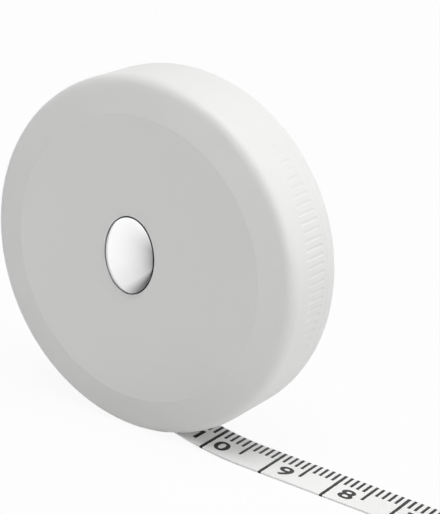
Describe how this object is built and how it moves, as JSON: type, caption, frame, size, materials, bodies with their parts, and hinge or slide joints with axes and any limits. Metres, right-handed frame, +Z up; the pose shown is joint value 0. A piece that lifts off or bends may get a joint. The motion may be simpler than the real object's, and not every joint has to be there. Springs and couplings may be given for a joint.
{
  "type": "retractable tape measure",
  "caption": "Round pocket tape measure for sewing: a white two-shell case with rim grips, a domed release button, and a printed cloth tape drawn out of a sprung reel.",
  "frame": {"origin": "on the table under the middle of the case, which stands on its rim, half way between the back and the top of the button", "axes": "+X the way the tape is drawn out, +Y from the face with the button to the back, along the axis of the reel, +Z up"},
  "size_m": [0.1383, 0.0138, 0.052],
  "materials": {
    "case_white": "satin",
    "inner_white": "moulded",
    "button_chrome": "polished",
    "brake_rubber": "matte",
    "spring_steel": "blued",
    "washer_nylon": "natural",
    "tape_cloth": "coated weave",
    "tip_steel": "nickel plated"
  },
  "bodies": {
    "case": {"front_shell": "case_white", "rear_shell": "case_white", "thrust_washer": "washer_nylon", "mainspring": "spring_steel", "return_spring": "spring_steel"},
    "reel": {"spool_drum": "inner_white", "spool_cover": "inner_white", "wound_tape_core": "tape_cloth", "wound_tape_turn": "tape_cloth"},
    "button": {"button_cap": "button_chrome", "button_plunger": "inner_white", "brake_pad": "brake_rubber"},
    "tape_end": {"tape_ribbon": "tape_cloth", "end_clip": "tip_steel", "clip_rivet": "tip_steel"}
  },
  "joints": [
    {"name": "tape_pull", "type": "slide", "parent": "case", "child": "tape_end", "axis": [1, 0, 0], "range_m": [-0.094, 1.35], "deforming": ["tape_ribbon"]},
    {"name": "reel_spin", "type": "hinge", "parent": "case", "child": "reel", "pos_m": [0, 0, 0.02598], "axis": [0, -1, 0], "range_deg": [-262, 3730], "deforming": ["mainspring"]},
    {"name": "button_press", "type": "slide", "parent": "case", "child": "button", "axis": [0, 1, 0], "range_m": [0, 0.0012], "stiffness_N_per_m": 1500, "springref_m": -0.0008, "deforming": ["return_spring"]}
  ],
  "couplings": [
    {"joint": "reel_spin", "follows": "tape_pull", "rad_per_m": 47.904}
  ]
}
